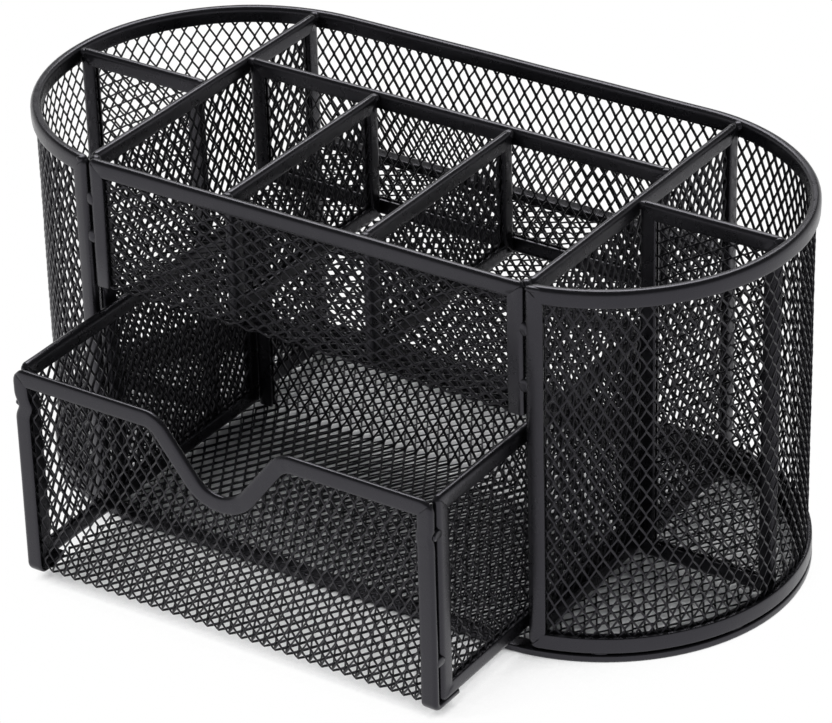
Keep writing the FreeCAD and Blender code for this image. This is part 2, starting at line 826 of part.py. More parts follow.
def drawer_floor():
    """The level mesh of the drawer, narrower in front, between the front posts."""
    half = size("drawer_half_width") - size("strip_thickness") - size("joint_gap")
    tongue = size("drawer_half_width") - size("strip_width") - size("joint_gap")
    low = size("drawer_front_y") + size("strip_thickness") / 2 + size("mesh_thickness") / 2
    shoulder = size("drawer_side_front_y")
    high = size("drawer_back_y") - size("strip_thickness") - size("joint_gap")
    edge = size("strand_width")
    corners = [
        vector(-tongue, low),
        vector(tongue, low),
        vector(tongue, shoulder),
        vector(half, shoulder),
        vector(half, high),
        vector(-half, high),
        vector(-half, shoulder),
        vector(-tongue, shoulder),
    ]
    outline = Part.makePolygon(corners + [corners[0]])

    def keeps(x, y):
        return abs(x) < tongue - edge or y > shoulder + edge

    gaps = diamonds((-half + edge, low + edge), (half - edge, high - edge), 1, keeps)
    base = ("0", "0", "drawer_bottom + strip_thickness / 2")
    add_flat("drawer_floor_mesh", net(outline, gaps), "flat", base, True)


# Spot welds, small lumps that bridge the gaps between strips

WELD_HEIGHT_SHARES = (0.2, 0.8)


def base_welds():
    """Tabs between the base tray and the shell's bottom rim."""
    length = size("weld_length")
    lumps = []
    level = size("base_rim_height") + size("base_gap") / 2
    middle = size("end_radius") - size("rim_thickness") / 2
    centre = size("end_centre_x")
    for sign in (-1, 1):
        for angle in WELD_ANGLES:
            turn = math.radians(angle)
            x = sign * (centre + middle * math.cos(turn))
            y = middle * math.sin(turn)
            along = (-sign * math.sin(turn), math.cos(turn), 0)
            lumps.append(weld_tab((x, y, level), along, length))
    for share in BACK_WELD_SHARES:
        lumps.append(weld_tab((share * centre, middle, level), (1, 0, 0), length))
    thing = doc.addObject("Part::Feature", "base_welds")
    thing.Shape = Part.makeCompound(lumps)
    finish(thing, "base_welds")


WELD_ANGLES = (-60, -20, 20, 60)
BACK_WELD_SHARES = (-0.6, 0, 0.6)


def weld_tab(centre, along, length):
    """A flat tab that fills the gap under the shell's bottom rim."""
    width = size("weld_width")
    gap = size("base_gap")
    tab = Part.makeBox(length, width, gap, vector(-length / 2, -width / 2, -gap / 2))
    turn = FreeCAD.Rotation(vector(1, 0, 0), vector(*along))
    tab.Placement = FreeCAD.Placement(vector(*centre), turn).multiply(tab.Placement)
    return tab


def corner_welds():
    """Short bars between the shell posts and the front panel's posts."""
    gap = size("panel_side_gap")
    tall = size("weld_length")
    thick = size("weld_width")
    low = size("shelf_height")
    rise = size("rim_bottom") - low
    lumps = []
    for sign in (-1, 1):
        for share in WELD_HEIGHT_SHARES:
            start = size("panel_half_width") if sign == 1 else -size("shell_front_x")
            corner = vector(start, size("panel_front_y") + thick / 2, low + share * rise)
            lumps.append(Part.makeBox(gap, thick, tall, corner))
    thing = doc.addObject("Part::Feature", "corner_welds")
    thing.Shape = Part.makeCompound(lumps)
    finish(thing, "corner_welds")


def drawer_welds():
    """Short bars between the drawer's front posts and its sides."""
    gap = size("joint_gap")
    tall = size("weld_length")
    thick = size("weld_width")
    y = size("drawer_front_y") + size("strip_thickness")
    x = size("drawer_half_width") - size("strip_thickness") / 2
    low = size("drawer_bottom")
    rise = size("drawer_top") - low
    lumps = []
    for sign in (-1, 1):
        for share in WELD_HEIGHT_SHARES:
            corner = vector(sign * x - thick / 2, y, low + share * rise)
            lumps.append(Part.makeBox(thick, gap, tall, corner))
    thing = doc.addObject("Part::Feature", "drawer_welds")
    thing.Shape = Part.makeCompound(lumps)
    finish(thing, "drawer_welds", True)


def check_document():
    """Stop on any failed object, and on any sub-part that isn't a sound solid."""
    doc.recompute()
    for thing in doc.Objects:
        if "Invalid" in thing.State or "Error" in thing.State:
            raise RuntimeError("%s failed: %s" % (thing.Label, thing.State))
    for node, thing in NODES:
        shape = thing.Shape
        if shape.isNull() or not shape.isValid() or not shape.Solids:
            raise RuntimeError("%s has no sound shape" % node)


def write_parts():
    os.makedirs("parts", exist_ok=True)
    for node, thing in NODES:
        thing.Shape.exportStep("parts/%s.step" % node)
        print(node, len(thing.Shape.Solids), round(thing.Shape.Volume))


fill_sheet()
base_tray()
shell()
dividers()
front_panel()
shelf()
drawer_front()
drawer_side("left")
drawer_side("right")
drawer_back()
drawer_floor()
base_welds()
corner_welds()
drawer_welds()
check_document()
write_parts()
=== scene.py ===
import math

import bpy
import numpy as np
from mathutils import Matrix, Vector


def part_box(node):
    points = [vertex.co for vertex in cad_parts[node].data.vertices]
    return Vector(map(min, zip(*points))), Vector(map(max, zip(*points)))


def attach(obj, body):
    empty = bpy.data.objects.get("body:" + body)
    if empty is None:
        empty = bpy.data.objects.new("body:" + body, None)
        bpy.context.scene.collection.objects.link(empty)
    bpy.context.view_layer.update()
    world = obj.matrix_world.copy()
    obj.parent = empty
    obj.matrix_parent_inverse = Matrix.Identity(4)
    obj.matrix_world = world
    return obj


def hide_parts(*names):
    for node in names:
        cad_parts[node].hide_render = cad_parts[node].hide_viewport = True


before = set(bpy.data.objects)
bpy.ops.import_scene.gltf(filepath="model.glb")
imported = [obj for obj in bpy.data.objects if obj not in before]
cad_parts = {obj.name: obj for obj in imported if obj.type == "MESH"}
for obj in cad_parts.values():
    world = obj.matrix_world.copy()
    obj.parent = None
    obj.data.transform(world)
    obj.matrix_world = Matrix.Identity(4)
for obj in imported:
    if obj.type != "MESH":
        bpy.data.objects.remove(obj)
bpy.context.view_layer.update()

# Desk pen stand of expanded metal with a sliding drawer. Shapes are worked out in
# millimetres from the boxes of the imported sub-parts, and turned into metres at the end.

MM = 0.001


def span(node):
    """Lowest and highest corner of a packed sub-part, in millimetres."""
    low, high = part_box(node)
    return np.array(low) / MM, np.array(high) / MM


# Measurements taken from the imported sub-parts

BASE_LOW, BASE_HIGH = span("base_rim")
BASE_HALF = (BASE_HIGH[2] - BASE_LOW[2]) / 2
END_RADIUS = (BASE_HIGH[1] - BASE_LOW[1]) / 2
MIDDLE_Y = (BASE_HIGH[1] + BASE_LOW[1]) / 2
CENTRE_X = BASE_HIGH[0] - END_RADIUS
TOP_LOW, TOP_HIGH = span("shell_top_rim")
STRIP = TOP_HIGH[2] - TOP_LOW[2]
SHELL_TOP = TOP_HIGH[2]
SHELL_BOTTOM = span("shell_bottom_rim")[0][2]
FRONT_X = span("shell_right_post")[0][0]

# Half thicknesses of the folded strips
RIM_HALF = 1.5
STRIP_HALF = 1.3
FRONT_HALF = 1.0

# Section of a folded strip. Shares are of its half thickness, width or lip.
FOLD_RADIUS = 1.2
BASE_FOLD = 0.45
BOTTOM_FOLD = 0.5
FOLD_LIMIT = 0.9
FOLD_STRETCH = 1.35
FOLD_STEPS = 7
FLAT_SHARE = 0.4
NEAR_EDGE_SHARE = 0.98
EDGE_SHARE = 0.95
SLOT_HALF = 0.5
LIP = 0.3
CHAMFER_SHARE = 0.3
BEVEL = 0.14

# Course of a folded strip: corners, distance between places, and unevenness
CORNER_RADIUS = 1.8
SHELL_CORNER_RADIUS = 2.6
FRONT_CORNER_RADIUS = 3.6
PAST_MITRE = 0.6
STRAIGHT_STEP = 8.0
CREST_STEP = 4.0
CURVED_STEP = 3.0
WAVES = 0.05
WAVE_LENGTHS = (6, 13)
SWELL = 0.015
SWELL_PACE = 0.9
DENT_STOPS = np.linspace(-2, 2, 13)

# Expanded metal
SHORT_WAY = 3.5
LONG_WAY = 6.0
SHEET = 0.42
TILT = 0.14
TILT_SPREAD = (0.8, 1.2)
BOND_LENGTH = 0.60
BOND_EDGE = 0.22
BOND_WIDTH = 0.30
JITTER = 0.055
WANDER = 0.12
WANDER_SHARE = 0.4
WANDER_LENGTHS = (11, 17, 9, 23)
NET_INSET = 1.2
NET_MARGIN = 5
BASE_NET_TURN = math.radians(1.5)
BEND_RADIUS = 1.5


# Surfaces: each takes two places on the sheet and a height off it

def flat(origin, across, up):
    """A flat sheet. Its outer side faces across x up."""
    origin = np.array(origin, float)
    across = np.array(across, float)
    up = np.array(up, float)
    out = np.cross(across, up)

    def place(u, v, n):
        return (origin + np.multiply.outer(u, across) + np.multiply.outer(v, up)
                + np.multiply.outer(n, out))

    return place


# The wall: its radius, the angle where it starts on the left end, and how far along it
# the back begins, the back ends and the right end is over
SHELL_RADIUS = END_RADIUS - RIM_HALF
WALL_START = math.asin((FRONT_X - CENTRE_X) / SHELL_RADIUS)
WALL_ARC = SHELL_RADIUS * (math.pi - WALL_START)
WALL_BACK = WALL_ARC + 2 * CENTRE_X
WALL_LENGTH = 2 * WALL_ARC + 2 * CENTRE_X


def shell_wall(u, v, n):
    """The wall round the left end, the back and the right end."""
    u, v, n = np.broadcast_arrays(u, v, n)
    radius = SHELL_RADIUS + n
    left = WALL_START + u / SHELL_RADIUS
    right = WALL_START + (WALL_LENGTH - u) / SHELL_RADIUS
    behind = np.where(u < WALL_BACK, u - WALL_ARC - CENTRE_X,
                      CENTRE_X + radius * np.sin(right))
    x = np.where(u < WALL_ARC, -CENTRE_X - radius * np.sin(left), behind)
    y = np.where(u < WALL_ARC, -radius * np.cos(left),
                 np.where(u < WALL_BACK, radius, -radius * np.cos(right)))
    return np.stack([x, y + MIDDLE_Y, v], axis=-1)


HALF_ARC = math.pi * BEND_RADIUS / 4
BEND_RISE = BEND_RADIUS - HALF_ARC


def bent_length(front_y, back_y):
    """Way along a sheet from the middle of its front bend to that of its back bend."""
    return back_y - front_y - 2 * BEND_RADIUS + 2 * HALF_ARC


def bent(sheet_y, sheet_z, back_y=None):
    """An upright sheet that bends back at its foot and runs on level.

    v is 0 in the bend, above 0 up the sheet and below 0 towards the back. With back_y
    the sheet bends up again there.
    """

    def place(u, v, n):
        u, v, n = np.broadcast_arrays(u, v, n)
        behind = np.zeros(v.shape, bool)
        if back_y is not None:
            length = bent_length(sheet_y, back_y)
            behind = v < -length / 2
            v = np.where(behind, -length - v, v)
        turn = math.pi / 4 - np.clip(v, -HALF_ARC, HALF_ARC) / BEND_RADIUS
        reach = BEND_RADIUS + n
        y = sheet_y + BEND_RADIUS - reach * np.cos(turn)
        z = sheet_z + BEND_RADIUS - reach * np.sin(turn)
        z = z + np.clip(v - HALF_ARC, 0, None)
        y = y + np.clip(-v - HALF_ARC, 0, None)
        if back_y is not None:
            y = np.where(behind, sheet_y + back_y - y, y)
        return np.stack([u, y, z], axis=-1)

    return place


def mirrored(place, u, v):
    """True where u, v and the height off the sheet are a left-handed set."""
    step = 0.1
    here = place(np.array([u]), np.array([v]), np.array([0.0]))[0]
    ways = [place(np.array([u + a]), np.array([v + b]), np.array([c]))[0] - here
            for a, b, c in ((step, 0, 0), (0, step, 0), (0, 0, step))]
    return np.dot(np.cross(ways[0], ways[1]), ways[2]) < 0


# Expanded metal

# Corners of a bond: along it, over it, and their rise off the sheet
BOND = np.array([
    (BOND_LENGTH, 0.0, 0.0),
    (BOND_EDGE, BOND_WIDTH, TILT),
    (-BOND_EDGE, BOND_WIDTH, TILT),
    (-BOND_LENGTH, 0.0, 0.0),
    (-BOND_EDGE, -BOND_WIDTH, -TILT),
    (BOND_EDGE, -BOND_WIDTH, -TILT),
])
BOND_CORNERS = len(BOND)


def wander(u, v, seed):
    """Slow rise and fall of a sheet, within about one unit."""
    a, b, c, d = np.random.default_rng(seed).uniform(0, 2 * math.pi, 4)
    first, second, third, fourth = WANDER_LENGTHS
    return WANDER_SHARE * (np.sin(u / first + a) * np.cos(v / second + b)
                           + np.sin(v / third + c) * np.cos(u / fourth + d))


def bond_places(low, high, tall, anchor, inside):
    """Middles of the bonds, where the grid has one, and their numbers in it.

    The grid of numbers has an empty border, and holds -1 where there is no bond.
    """
    half = np.array([SHORT_WAY, LONG_WAY] if tall else [LONG_WAY, SHORT_WAY]) / 2
    first = np.ceil((np.array(low) - anchor) / half).astype(int)
    last = np.floor((np.array(high) - anchor) / half).astype(int)
    column, row = np.meshgrid(np.arange(first[0], last[0] + 1),
                              np.arange(first[1], last[1] + 1), indexing="ij")
    u = anchor[0] + column * half[0]
    v = anchor[1] + row * half[1]
    there = (column + row) % 2 == 0
    if inside is not None:
        there &= inside(u, v)
    number = np.full((there.shape[0] + 2, there.shape[1] + 2), -1)
    number[1:-1, 1:-1][there] = np.arange(int(there.sum()))
    return u[there], v[there], there, number


def bond_faces(count, beside):
    """Faces of the bonds and of the strands between them.

    beside gives the number of each bond's neighbour, or -1 where it has none. A bond's
    outer corners come first, then its inner ones.
    """
    under = BOND_CORNERS
    here = np.arange(count) * 2 * under
    faces = []

    def add(*corners):
        faces.append(np.stack(corners, axis=1))

    def add_side(a, b):
        add(a, a + under, b + under, b)

    for corners in ((0, 1, 2, 3), (3, 4, 5, 0)):
        add(*[here + corner for corner in corners])
        add(*[here + under + corner for corner in reversed(corners)])
    add_side(here + 1, here + 2)
    add_side(here + 4, here + 5)
    rising = beside(1, 1)
    falling = beside(1, -1)
    k = here[rising >= 0]
    m = rising[rising >= 0] * 2 * under
    add(k, m + 4, m + 3, k + 1)
    add(k + 1 + under, m + 3 + under, m + 4 + under, k + under)
    add_side(k, m + 4)
    add_side(m + 3, k + 1)
    k = here[falling >= 0]
    m = falling[falling >= 0] * 2 * under
    add(k, k + 5, m + 3, m + 2)
    add(m + 2 + under, m + 3 + under, k + 5 + under, k + under)
    add_side(k + 5, m + 3)
    add_side(m + 2, k)
    for other, a, b in ((rising, 0, 1), (falling, 5, 0),
                        (beside(-1, 1), 2, 3), (beside(-1, -1), 3, 4)):
        k = here[other < 0]
        add_side(k + a, k + b)
    return np.concatenate(faces)


def net(place, low, high, tall, anchor=(0.0, 0.0), inside=None, facing=1, seed=1):
    """Expanded metal over a rectangle: tilted bonds joined by slanting strands.

    A tall net has the long way of its diamonds along v. facing scales the tilt.
    """
    u, v, there, number = bond_places(low, high, tall, anchor, inside)
    count = len(u)
    chance = np.random.default_rng(seed)
    u = u + chance.normal(0, JITTER, count)
    v = v + chance.normal(0, JITTER, count)
    lift = WANDER * wander(u, v, seed)
    along, over, rise = BOND.T
    step_u, step_v = (over, along) if tall else (along, over)
    all_u = u[:, None] + step_u
    all_v = v[:, None] + step_v
    tilt = chance.uniform(*TILT_SPREAD, (count, 1))
    height = lift[:, None] + facing * rise * tilt
    front = place(all_u, all_v, height + SHEET / 2)
    back = place(all_u, all_v, height - SHEET / 2)
    points = np.concatenate([front, back], axis=1).reshape(-1, 3)

    def beside(step_along, step_over):
        step = (step_over, step_along) if tall else (step_along, step_over)
        moved = np.roll(number, (-step[0], -step[1]), (0, 1))
        return moved[1:-1, 1:-1][there]

    faces = bond_faces(count, beside)
    if mirrored(place, float(u[0]), float(v[0])) != tall:
        faces = faces[:, ::-1]
    return points, faces.tolist()


# Folded strips round the edges of a sheet

def hem(half, fold=FOLD_RADIUS):
    """Section of a folded strip: way in from its fold, and height off the sheet."""
    fold = min(fold, FOLD_LIMIT * half)
    deep = FOLD_STRETCH * fold
    edge = EDGE_SHARE * half
    chamfer = CHAMFER_SHARE * LIP
    upper = [(deep * (1 - math.cos(turn)), half - fold + fold * math.sin(turn))
             for turn in np.linspace(0, math.pi / 2, FOLD_STEPS)]
    upper += [
        (deep + FLAT_SHARE * (STRIP - deep), half),
        (STRIP - 3 * LIP, NEAR_EDGE_SHARE * half),
        (STRIP - LIP, edge),
        (STRIP - chamfer, edge - chamfer),
        (STRIP, edge - LIP),
        (STRIP, SLOT_HALF),
        (STRIP - 2 * LIP, SLOT_HALF),
    ]
    lower = [(inward, -height) for inward, height in reversed(upper)]
    return np.array(upper + lower)


def unit(vector):
    """The vector, one unit long."""
    vector = np.array(vector, float)
    return vector / np.linalg.norm(vector)


def spot(at, inward, radius=0.0, outward=None):
    """One place along a strip: its edge, the way in, and the round of a corner."""
    inward = np.array(inward, float)
    outward = -unit(inward) if outward is None else np.array(outward, float)
    return np.array(at, float), inward, radius, outward


def section(place_on_edge, profile):
    """The strip's section at one place: two places on the sheet and a height."""
    at, inward, radius, outward = place_on_edge
    depth = profile[:, 0:1]
    corner = at + inward * np.maximum(depth, radius)
    corner = corner + outward * np.maximum(radius - depth, 0)
    return np.concatenate([corner, profile[:, 1:2]], axis=1)


def side_spots(start, end, before, after, radius, step, dents=(), waves=WAVES, seed=0):
    """Places along one straight side, from the middle of a corner to that of the next.

    before and after are the inward ways of the neighbouring sides, or None at a free
    end. A dent is its middle, its reach and its depth, which is 0 where a strip only
    needs closer places.
    """
    start = np.array(start, float)
    end = np.array(end, float)
    along = unit(end - start)
    inward = np.array([-along[1], along[0]])
    length = float(np.linalg.norm(end - start))
    spots = []

    def corner(at, other, opening):
        mitre = (inward + other) / (1 + inward @ other)
        middle = -unit(mitre)
        shares = (0, 1 / 3, 2 / 3, 1) if opening else (1, 2 / 3, 1 / 3, 0)
        for share in shares:
            outward = unit((1 - share) * middle - share * inward)
            spots.append(spot(at, mitre, radius, outward))

    low = 0.0
    high = length
    if before is not None:
        corner(start, before, True)
        low = STRIP + PAST_MITRE
    if after is not None:
        high = length - STRIP - PAST_MITRE
    count = max(2, int((high - low) / step) + 1)
    phase = np.random.default_rng(seed).uniform(0, 2 * math.pi, 2)
    stops = set(np.linspace(low, high, count).tolist())
    for middle, reach, _ in dents:
        stops |= set((middle + reach * DENT_STOPS).tolist())
    for s in sorted(stops):
        wave = (math.sin(s / WAVE_LENGTHS[0] + phase[0])
                + math.sin(s / WAVE_LENGTHS[1] + phase[1]))
        shift = waves * wave / 2 + waves
        for middle, reach, depth in dents:
            shift += depth * math.exp(-((s - middle) / reach) ** 2)
        spots.append(spot(start + along * s + inward * shift, inward))
    if after is not None:
        corner(end, after, False)
    return spots, along


def strip(place, spots, start_way, end_way, half, around=False, fold=FOLD_RADIUS,
          seed=0):
    """Vertices and faces of one strip through its places, with bevelled cut ends."""
    profile = hem(half, fold)
    phase = np.random.default_rng(seed).uniform(0, 2 * math.pi)
    rows = []
    for number, where in enumerate(spots):
        row = section(where, profile)
        row[:, 2] *= 1 - SWELL + SWELL * math.sin(SWELL_PACE * number + phase)
        rows.append(row)
    if not around:
        small = profile.copy()
        small[:, 0] = np.clip(small[:, 0], BEVEL, STRIP - BEVEL)
        small[:, 1] *= 1 - BEVEL / half
        first = section(spots[0], small)
        last = section(spots[-1], small)
        rows[0][:, :2] += np.array(start_way) * BEVEL
        rows[-1][:, :2] -= np.array(end_way) * BEVEL
        rows = [first] + rows + [last]
    grid = np.array(rows)
    points = place(grid[:, :, 0], grid[:, :, 1], grid[:, :, 2]).reshape(-1, 3)
    count = len(profile)
    total = len(rows)
    faces = []
    for row in range(total if around else total - 1):
        this = row * count
        following = ((row + 1) % total) * count
        for corner in range(count):
            after = (corner + 1) % count
            faces.append((this + corner, following + corner,
                          following + after, this + after))
    if not around:
        faces.append(tuple(range(count)))
        faces.append(tuple(range((total - 1) * count, total * count))[::-1])
    sample = grid[total // 2, 0]
    if mirrored(place, float(sample[0]), float(sample[1])):
        faces = [face[::-1] for face in faces]
    return points, faces


def polygon_strips(place, corners, half, free_ends=False, radius=CORNER_RADIUS,
                   step=STRAIGHT_STEP, folds=None, seed=0):
    """One strip for each side of an outline that runs anticlockwise.

    folds holds the fold of each side, by number, that has one of its own.
    """
    corners = [np.array(corner, float) for corner in corners]
    count = len(corners) if not free_ends else len(corners) - 1
    ways = []
    for number in range(count):
        along = unit(corners[(number + 1) % len(corners)] - corners[number])
        ways.append(np.array([-along[1], along[0]]))
    made = []
    for number in range(count):
        before = None if free_ends and number == 0 else ways[number - 1]
        at_end = free_ends and number == count - 1
        after = None if at_end else ways[(number + 1) % count]
        spots, along = side_spots(
            corners[number], corners[(number + 1) % len(corners)], before, after,
            radius, step, seed=seed + number,
        )
        made.append(strip(
            place, spots, along, along, half,
            fold=(folds or {}).get(number, FOLD_RADIUS), seed=seed + number,
        ))
    return made


def rectangle(low, high):
    """Corners of a closed outline, anticlockwise from the lowest left one."""
    return [(low[0], low[1]), (high[0], low[1]), (high[0], high[1]), (low[0], high[1])]


def arch(reach, foot, top):
    """Corners of an outline that is open below, from the right foot to the left one."""
    return [(reach, foot), (reach, top), (-reach, top), (-reach, foot)]


# Lumps of weld under the coating

LUMP_RINGS = 9
LUMP_AROUND = 16
LUMP_WIDE_SHARE = 0.1
LUMP_CLOSE_SHARE = 0.07


def lump(centre, lengths, turn=0.0, seed=0, square=0.8):
    """A low uneven lump. lengths are its half sizes, turn is about the upright.

    The smaller square is, the squarer the lump is seen from above.
    """
    chance = np.random.default_rng(seed)
    tilt = np.linspace(0, math.pi, LUMP_RINGS + 2)[1:-1]
    heading = np.linspace(0, 2 * math.pi, LUMP_AROUND, endpoint=False)
    tilts, headings = np.meshgrid(tilt, heading, indexing="ij")
    wide = np.sin(3 * headings + chance.uniform(0, 6)) * np.sin(tilts)
    close = np.sin(5 * headings + 4 * tilts + chance.uniform(0, 6)) * np.sin(tilts)
    uneven = 1 + LUMP_WIDE_SHARE * wide + LUMP_CLOSE_SHARE * close
    x = np.sin(tilts) * np.cos(headings)
    y = np.sin(tilts) * np.sin(headings)
    x, y = (np.sign(way) * np.abs(way) ** square for way in (x, y))
    body = np.stack([x * uneven, y * uneven, np.cos(tilts)], axis=-1).reshape(-1, 3)
    body = np.concatenate([body, [(0, 0, 1), (0, 0, -1)]]) * np.array(lengths)
    cosine, sine = math.cos(turn), math.sin(turn)
    points = np.stack([
        body[:, 0] * cosine - body[:, 1] * sine,
        body[:, 0] * sine + body[:, 1] * cosine,
        body[:, 2],
    ], axis=1) + np.array(centre)
    faces = []
    for ring in range(LUMP_RINGS - 1):
        here = ring * LUMP_AROUND
        lower = here + LUMP_AROUND
        for step in range(LUMP_AROUND):
            after = (step + 1) % LUMP_AROUND
            faces.append((here + step, lower + step, lower + after, here + after))
    top = LUMP_RINGS * LUMP_AROUND
    last = top - LUMP_AROUND
    for step in range(LUMP_AROUND):
        after = (step + 1) % LUMP_AROUND
        faces.append((top, step, after))
        faces.append((top + 1, last + after, last + step))
    return points, faces


# Materials. A noise is its scale and its detail.

# Violet tint on every reflection of the coats: a painted reflection colour, standing in
# for a bluish backdrop seen in them
PAINTED_REFLECTION_TINT = (0.90, 0.87, 1.0, 1)
CLOUD_NOISE = (90.0, 4.0)
CLOUD_RANGE = (0.35, 0.68)
GLOSS_NOISE = (340.0, 3.0)
GLOSS_RANGE = (0.3, 0.7)
SMOOTHER = 0.03
DULLER = 0.04
GRAIN_DETAIL = 2.0
GRAIN_DEPTH = 0.00008


def coat(name, dark, light, shine, rough, grain, relief):
    """Satin powder coat: soft mottling, uneven gloss and a fine orange-peel grain."""
    material = bpy.data.materials.new(name)
    material.use_nodes = True
    tree = material.node_tree
    nodes = tree.nodes
    links = tree.links
    shader = nodes["Principled BSDF"]
    shader.inputs["Specular IOR Level"].default_value = shine
    # Painted reflection colour: every reflection on this coat is tinted violet
    shader.inputs["Specular Tint"].default_value = PAINTED_REFLECTION_TINT
    where = nodes.new("ShaderNodeTexCoord").outputs["Object"]

    def noise(scale, detail):
        node = nodes.new("ShaderNodeTexNoise")
        node.inputs["Scale"].default_value = scale
        node.inputs["Detail"].default_value = detail
        links.new(where, node.inputs["Vector"])
        return node.outputs["Fac"]

    def ramp(source, low, high, first, second):
        node = nodes.new("ShaderNodeValToRGB")
        node.color_ramp.elements[0].position = low
        node.color_ramp.elements[1].position = high
        node.color_ramp.elements[0].color = first
        node.color_ramp.elements[1].color = second
        links.new(source, node.inputs["Fac"])
        return node.outputs["Color"]

    colour = ramp(noise(*CLOUD_NOISE), *CLOUD_RANGE, dark + (1,), light + (1,))
    links.new(colour, shader.inputs["Base Color"])
    smooth = (rough - SMOOTHER,) * 3 + (1,)
    dull = (rough + DULLER,) * 3 + (1,)
    roughness = ramp(noise(*GLOSS_NOISE), *GLOSS_RANGE, smooth, dull)
    links.new(roughness, shader.inputs["Roughness"])
    bump = nodes.new("ShaderNodeBump")
    bump.inputs["Strength"].default_value = relief
    bump.inputs["Distance"].default_value = GRAIN_DEPTH
    links.new(noise(grain, GRAIN_DETAIL), bump.inputs["Height"])
    links.new(bump.outputs["Normal"], shader.inputs["Normal"])
    return material


COATS = {
    "strip": coat("strip_coat", (0.0030, 0.0030, 0.0034), (0.0060, 0.0060, 0.0068),
                  shine=0.56, rough=0.28, grain=1500.0, relief=0.3),
    "mesh": coat("mesh_coat", (0.0028, 0.0028, 0.0032), (0.0056, 0.0056, 0.0063),
                 shine=0.38, rough=0.30, grain=2400.0, relief=0.25),
    "weld": coat("weld_coat", (0.0036, 0.0036, 0.0042), (0.0075, 0.0075, 0.0085),
                 shine=0.58, rough=0.31, grain=900.0, relief=0.6),
}
SHARP_ANGLE = math.radians(55)


def piece(name, body, finish, parts, *stands_for):
    """Make one object from lists of vertices and faces, and hang it on its body.

    finish is its material slot, stands_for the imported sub-parts that it replaces.
    """
    points = []
    faces = []
    start = 0
    for some_points, some_faces in parts:
        points.append(some_points)
        faces += [tuple(corner + start for corner in face) for face in some_faces]
        start += len(some_points)
    mesh = bpy.data.meshes.new(name)
    mesh.from_pydata((np.concatenate(points) * MM).tolist(), [], faces)
    mesh.validate()
    mesh.shade_smooth()
    if finish == "strip":
        mesh.set_sharp_from_angle(angle=SHARP_ANGLE)
    mesh.materials.append(COATS[finish])
    thing = bpy.data.objects.new(name, mesh)
    bpy.context.scene.collection.objects.link(thing)
    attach(thing, body)
    if stands_for:
        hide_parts(*stands_for)


# Base tray

def stadium_spots(step):
    """Places round the outline of the base, anticlockwise."""
    spots = []
    arc = math.pi * END_RADIUS
    side = 2 * CENTRE_X
    whole = 2 * arc + 2 * side
    for s in np.linspace(0, whole, int(whole / step), endpoint=False):
        if s < side:
            at, inward = (s - CENTRE_X, -END_RADIUS), (0, 1)
        elif s < side + arc:
            turn = (s - side) / END_RADIUS
            inward = (-math.sin(turn), math.cos(turn))
            at = (CENTRE_X - END_RADIUS * inward[0], -END_RADIUS * inward[1])
        elif s < 2 * side + arc:
            at, inward = (CENTRE_X - (s - side - arc), END_RADIUS), (0, -1)
        else:
            turn = (s - 2 * side - arc) / END_RADIUS
            inward = (math.sin(turn), -math.cos(turn))
            at = (-CENTRE_X - END_RADIUS * inward[0], -END_RADIUS * inward[1])
        spots.append(spot(at, inward))
    return spots


def base_tray():
    origin = (0, MIDDLE_Y, BASE_LOW[2] + BASE_HALF)
    ring = strip(flat(origin, (1, 0, 0), (0, 1, 0)), stadium_spots(CURVED_STEP),
                 None, None, BASE_HALF, around=True, fold=BASE_FOLD, seed=3)
    piece("base_rim_strip", "stand", "strip", [ring], "base_rim")
    reach = END_RADIUS - NET_INSET
    cosine, sine = math.cos(BASE_NET_TURN), math.sin(BASE_NET_TURN)

    def inside(u, v):
        x, y = u * cosine - v * sine, u * sine + v * cosine
        return np.hypot(np.maximum(np.abs(x) - CENTRE_X, 0), y) < reach

    turned = flat(origin, (cosine, sine, 0), (-sine, cosine, 0))
    limit = np.array([CENTRE_X + reach, reach]) + NET_MARGIN
    sheet = net(turned, -limit, limit, True, inside=inside, seed=5)
    piece("base_mesh_sheet", "stand", "mesh", [sheet], "base_mesh")


# Outer wall

def shell():
    outline = rectangle((0, SHELL_BOTTOM), (WALL_LENGTH, SHELL_TOP))
    sides = polygon_strips(shell_wall, outline, RIM_HALF, radius=SHELL_CORNER_RADIUS,
                           step=CURVED_STEP, folds={0: BOTTOM_FOLD}, seed=11)
    names = ("shell_bottom_rim", "shell_right_post", "shell_top_rim", "shell_left_post")
    for name, side in zip(names, sides):
        piece(name + "_strip", "stand", "strip", [side], name)
    low = (NET_INSET, SHELL_BOTTOM + NET_INSET)
    high = (WALL_LENGTH - NET_INSET, SHELL_TOP - NET_INSET)
    anchor = (WALL_LENGTH / 2, (SHELL_BOTTOM + SHELL_TOP) / 2)
    sheet = net(shell_wall, low, high, True, anchor, seed=7)
    piece("shell_mesh_sheet", "stand", "mesh", [sheet], "shell_mesh")


# Dividers and other framed panels

def framed(name, body, seed, tall=True, facing=1, lift=(0.0, 0.0)):
    """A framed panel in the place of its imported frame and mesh.

    lift moves its front and its bottom edge inwards.
    """
    low, high = span(name + "_frame")
    middle = (low + high) / 2
    if np.argmin(high - low) == 0:
        place = flat((middle[0], 0, 0), (0, 1, 0), (0, 0, 1))
        low, high = low[1:], high[1:]
    else:
        place = flat((0, middle[1], 0), (1, 0, 0), (0, 0, 1))
        low, high = low[[0, 2]], high[[0, 2]]
    low = low + lift
    strips = polygon_strips(place, rectangle(low, high), STRIP_HALF, seed=seed)
    piece(name + "_strips", body, "strip", strips, name + "_frame")
    sheet = net(place, low + NET_INSET, high - NET_INSET, tall, (low + high) / 2,
                facing=facing, seed=seed + 4)
    piece(name + "_sheet", body, "mesh", [sheet], name + "_mesh")


def dividers():
    for number, name in enumerate((
        "left_divider", "right_divider", "left_end_divider", "right_end_divider",
        "long_divider", "cross_divider_left", "cross_divider_right",
    )):
        framed(name, "stand", 20 + 10 * number, tall="end" not in name)


# Front panel and shelf: one bent sheet

